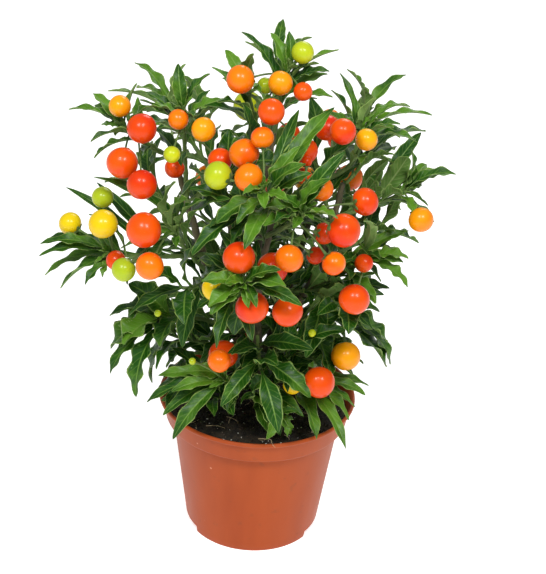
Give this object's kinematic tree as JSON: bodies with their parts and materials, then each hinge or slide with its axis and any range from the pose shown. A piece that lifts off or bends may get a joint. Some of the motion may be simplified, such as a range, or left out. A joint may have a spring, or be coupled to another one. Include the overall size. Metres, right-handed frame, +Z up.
{
  "type": "potted jerusalem cherry",
  "caption": "Bushy potted Jerusalem cherry: red, orange and yellow round berries among narrow leaves, in a round terracotta-coloured nursery pot.",
  "frame": {"origin": "centre of the pot's underside, on the surface that it stands on", "axes": "+Z up along the pot's axis and the plant's height, -Y towards the plant's best side, +X to the right as seen from that side"},
  "size_m": [0.2287, 0.1871, 0.322],
  "materials": {
    "pot": "satin",
    "soil": "matte",
    "bark": "matte",
    "foliage": "satin",
    "berry_red": "gloss",
    "berry_orange": "gloss",
    "berry_golden": "gloss",
    "berry_green": "gloss"
  },
  "bodies": {
    "root": {"pot": "pot", "soil": "soil", "woody_stem": "bark", "shoot_upper_left": "foliage", "shoot_upper_mid_left": "foliage", "shoot_top_left": "foliage", "shoot_top": "foliage", "shoot_right_top": "foliage", "shoot_right": "foliage", "shoot_right_low": "foliage", "shoot_lower_right": "foliage", "shoot_rim_right": "foliage", "shoot_rim_front": "foliage", "shoot_rim_left": "foliage", "shoot_lower_left": "foliage", "shoot_left": "foliage", "shoot_left_centre": "foliage", "shoot_front_star": "foliage", "shoot_front_up": "foliage", "shoot_front_right": "foliage", "shoot_back_left": "foliage", "shoot_back_right": "foliage", "shoot_back_top": "foliage", "shoot_back_low": "foliage", "berry_01": "berry_golden", "berry_02": "berry_red", "berry_03": "berry_orange", "berry_04": "berry_golden", "berry_05": "berry_red", "berry_06": "berry_green", "berry_07": "berry_red", "berry_08": "berry_orange", "berry_09": "berry_red", "berry_10": "berry_orange", "berry_11": "berry_orange", "berry_12": "berry_orange", "berry_13": "berry_green", "berry_14": "berry_green", "berry_15": "berry_green", "berry_16": "berry_golden", "berry_17": "berry_red", "berry_18": "berry_red", "berry_19": "berry_orange", "berry_20": "berry_red", "berry_21": "berry_red", "berry_22": "berry_red", "berry_23": "berry_orange", "berry_24": "berry_orange", "berry_25": "berry_red", "berry_26": "berry_red", "berry_27": "berry_red", "berry_28": "berry_orange", "berry_29": "berry_golden", "berry_30": "berry_red", "berry_31": "berry_golden", "berry_32": "berry_golden", "berry_33": "berry_red", "berry_34": "berry_green", "berry_35": "berry_orange", "berry_36": "berry_golden"}
  },
  "joints": []
}
